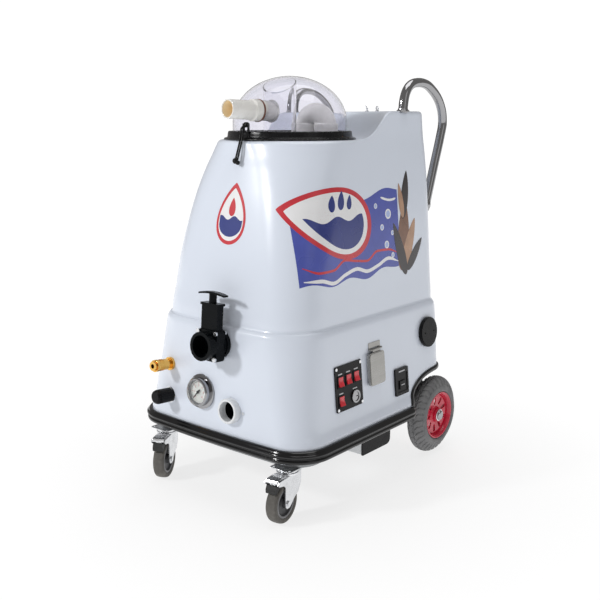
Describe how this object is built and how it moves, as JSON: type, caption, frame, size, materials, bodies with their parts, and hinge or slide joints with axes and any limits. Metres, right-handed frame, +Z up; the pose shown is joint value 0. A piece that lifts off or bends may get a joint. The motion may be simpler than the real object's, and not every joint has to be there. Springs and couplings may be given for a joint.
{
  "type": "carpet extraction cleaner",
  "caption": "Tall moulded carpet extraction cleaner with a clear dome lid, waste gate valve, gauge and couplers at the front, side switches, braked swivel casters and pneumatic rear wheels.",
  "frame": {"origin": "on the floor, at the middle of the bounding box's bottom face", "axes": "+Z up; the front with the gate valve faces -Y; the switch panel is on +X"},
  "size_m": [0.5996, 0.8111, 1.047],
  "materials": {
    "body_plastic": "glossy moulded polyethylene",
    "zinc_steel": "bright zinc plate",
    "bumper_rubber": "glossy black extrusion",
    "black_plastic": "fine-grained black",
    "handle_chrome": "dark polished chrome",
    "motor_metal": "satin",
    "pipe_white": "white pipe plastic",
    "ring_black": "satin black",
    "clear_acrylic": "clear moulded plastic with a faint cool tint",
    "valve_black": "satin black",
    "stainless": "brushed",
    "brass": "turned and polished",
    "knob_black": "black",
    "dial_white": "printed dial",
    "clear_glass": "flat lens",
    "panel_black": "satin black",
    "rocker_red": "translucent red",
    "inlet_grey": "pale grey",
    "caster_rubber": "grey-brown tread, dark grey centre",
    "tyre_grey": "dusty grey rubber",
    "rim_red": "crimson"
  },
  "bodies": {
    "chassis": {"base_housing": "body_plastic", "tank_housing": "body_plastic", "base_pan": "zinc_steel", "bumper_strip": "bumper_rubber", "wheel_arch_liners": "black_plastic", "rear_axle": "zinc_steel", "axle_brackets": "zinc_steel", "handle_right": "handle_chrome", "handle_left": "handle_chrome", "exhaust_box": "body_plastic", "shelf_hooks": "zinc_steel", "solution_tank": "body_plastic", "pump_unit": "black_plastic", "vacuum_motors": "motor_metal", "standpipe_bend": "pipe_white", "gate_valve_rear": "valve_black", "gate_valve_front": "valve_black", "gate_valve_bolts": "zinc_steel", "quick_coupler_body": "brass", "regulator_body": "zinc_steel", "gauge_case": "stainless", "gauge_dial": "dial_white", "gauge_lens": "clear_glass", "hose_port": "pipe_white", "switch_panel": "panel_black", "panel_screws": "zinc_steel", "key_switch_ring": "stainless", "power_inlet": "inlet_grey", "inlet_hinge_plate": "stainless", "breaker_box": "panel_black", "side_cap_neck": "black_plastic", "caster_plates": "zinc_steel"},
    "lid": {"lid_ring": "ring_black", "dome_lid": "clear_acrylic", "inlet_cuff": "pipe_white", "inlet_coupling": "pipe_white", "inlet_diffuser": "clear_acrylic"},
    "tie": {"lid_tie": "bumper_rubber"},
    "gate": {"gate_blade": "stainless", "gate_handle": "valve_black"},
    "coupler_sleeve": {"quick_coupler_collar": "brass"},
    "knob": {"regulator_knob": "knob_black"},
    "needle": {"gauge_needle": "knob_black"},
    "rocker_a": {"rocker_1": "rocker_red"},
    "rocker_b": {"rocker_2": "rocker_red"},
    "rocker_c": {"rocker_3": "rocker_red"},
    "rocker_d": {"rocker_4": "rocker_red"},
    "key": {"key_switch_barrel": "stainless"},
    "flap": {"inlet_cover": "stainless"},
    "cap": {"side_cap": "black_plastic"},
    "caster_right": {"caster_fork_right": "zinc_steel"},
    "caster_left": {"caster_fork_left": "zinc_steel"},
    "front_wheel_right": {"caster_wheel_right": "caster_rubber"},
    "front_wheel_left": {"caster_wheel_left": "caster_rubber"},
    "pedal_right": {"brake_pedal_right": "zinc_steel"},
    "pedal_left": {"brake_pedal_left": "zinc_steel"},
    "rear_wheel_right": {"rear_tyre_right": "tyre_grey", "rear_rim_right": "rim_red"},
    "rear_wheel_left": {"rear_tyre_left": "tyre_grey", "rear_rim_left": "rim_red"}
  },
  "joints": [
    {"name": "lid_lift", "type": "slide", "parent": "chassis", "child": "lid", "axis": [0, 0, 1], "range_m": [0, 0.2]},
    {"name": "tie_swing", "type": "hinge", "parent": "lid", "child": "tie", "pos_m": [-0.004, -0.211, 0.926], "axis": [-1, 0, 0], "range_deg": [0, 60]},
    {"name": "gate_slide", "type": "slide", "parent": "chassis", "child": "gate", "axis": [0, 0.0872, 0.9962], "range_m": [0, 0.058]},
    {"name": "coupler_sleeve_slide", "type": "slide", "parent": "chassis", "child": "coupler_sleeve", "axis": [0, 0.9962, -0.0872], "range_m": [0, 0.004], "stiffness_N_per_m": 800, "springref_m": -0.002},
    {"name": "regulator_turn", "type": "hinge", "parent": "chassis", "child": "knob", "pos_m": [-0.163, -0.38248, 0.24149], "axis": [0, -0.9962, 0.0872], "range_deg": [0, 720]},
    {"name": "gauge_needle_turn", "type": "hinge", "parent": "chassis", "child": "needle", "pos_m": [-0.042, -0.35816, 0.27326], "axis": [0, 0.9962, -0.0872], "range_deg": [0, 270]},
    {"name": "rocker_a_tilt", "type": "hinge", "parent": "chassis", "child": "rocker_a", "pos_m": [0.26503, -0.1795, 0.31698], "axis": [0, 1, 0], "range_deg": [0, 18]},
    {"name": "rocker_b_tilt", "type": "hinge", "parent": "chassis", "child": "rocker_b", "pos_m": [0.26499, -0.1475, 0.31748], "axis": [0, 1, 0], "range_deg": [0, 18]},
    {"name": "rocker_c_tilt", "type": "hinge", "parent": "chassis", "child": "rocker_c", "pos_m": [0.26494, -0.1155, 0.31798], "axis": [0, 1, 0], "range_deg": [0, 18]},
    {"name": "rocker_d_tilt", "type": "hinge", "parent": "chassis", "child": "rocker_d", "pos_m": [0.26938, -0.1795, 0.26918], "axis": [0, 1, 0], "range_deg": [0, 18]},
    {"name": "key_turn", "type": "hinge", "parent": "chassis", "child": "key", "pos_m": [0.26878, -0.1235, 0.26913], "axis": [0.9959, 0, 0.0906], "range_deg": [0, 90]},
    {"name": "flap_lift", "type": "hinge", "parent": "chassis", "child": "flap", "pos_m": [0.2652, -0.0345, 0.36983], "axis": [0, -1, 0], "range_deg": [0, 110]},
    {"name": "cap_turn", "type": "hinge", "parent": "chassis", "child": "cap", "pos_m": [0.26502, 0.2205, 0.36645], "axis": [0.9959, 0, 0.0906], "range_deg": [0, 90]},
    {"name": "caster_swivel_right", "type": "hinge", "parent": "chassis", "child": "caster_right", "pos_m": [0.2135, -0.3135, 0.119], "axis": [0, 0, 1], "continuous": true},
    {"name": "front_wheel_spin_right", "type": "hinge", "parent": "caster_right", "child": "front_wheel_right", "pos_m": [0.2174, -0.34123, 0.05], "axis": [0.9903, 0.1392, 0], "continuous": true},
    {"name": "brake_press_right", "type": "hinge", "parent": "caster_right", "child": "pedal_right", "pos_m": [0.21879, -0.35113, 0.111], "axis": [0.9903, 0.1392, 0], "range_deg": [0, 6]},
    {"name": "caster_swivel_left", "type": "hinge", "parent": "chassis", "child": "caster_left", "pos_m": [-0.2135, -0.3135, 0.119], "axis": [0, 0, 1], "continuous": true},
    {"name": "front_wheel_spin_left", "type": "hinge", "parent": "caster_left", "child": "front_wheel_left", "pos_m": [-0.20036, -0.33822, 0.05], "axis": [0.8829, 0.4695, 0], "continuous": true},
    {"name": "brake_press_left", "type": "hinge", "parent": "caster_left", "child": "pedal_left", "pos_m": [-0.19566, -0.34705, 0.111], "axis": [0.8829, 0.4695, 0], "range_deg": [0, 6]},
    {"name": "rear_wheel_spin_right", "type": "hinge", "parent": "chassis", "child": "rear_wheel_right", "pos_m": [0.247, 0.2835, 0.11], "axis": [1, 0, 0], "continuous": true},
    {"name": "rear_wheel_spin_left", "type": "hinge", "parent": "chassis", "child": "rear_wheel_left", "pos_m": [-0.247, 0.2835, 0.11], "axis": [1, 0, 0], "continuous": true}
  ]
}
